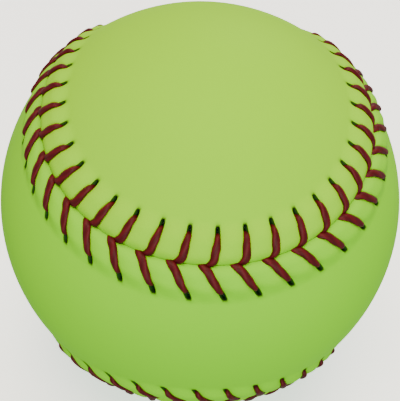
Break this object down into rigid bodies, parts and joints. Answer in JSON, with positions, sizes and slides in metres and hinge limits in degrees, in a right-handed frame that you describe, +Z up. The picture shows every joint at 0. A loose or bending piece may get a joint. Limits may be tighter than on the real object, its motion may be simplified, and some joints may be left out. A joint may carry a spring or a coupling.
{
  "type": "softball",
  "caption": "Stitched leather softball: a moulded core under a yarn winding and latex film, inside two figure-eight cover panels joined by a raised double-stitched seam.",
  "frame": {"origin": "middle of the ball", "axes": "+Z up through the middle of the upper panel's upper lobe, +Y from the front panel's waist to the upper panel's waist, so that half a turn about Y brings the seam back onto itself"},
  "size_m": [0.097, 0.097, 0.097],
  "materials": {
    "core": "moulded cork and rubber, matt",
    "winding": "twisted cotton and polyester yarn",
    "latex": "dried rubber cement film",
    "cover": "optic yellow leather, fine grain, soft sheen",
    "thread": "dark red waxed thread, satin"
  },
  "bodies": {
    "root": {"core": "core", "yarn_winding": "winding", "latex_coat": "latex", "cover_panel_upper": "cover", "cover_panel_front": "cover", "stitch_thread_one": "thread", "stitch_thread_two": "thread"}
  },
  "joints": []
}
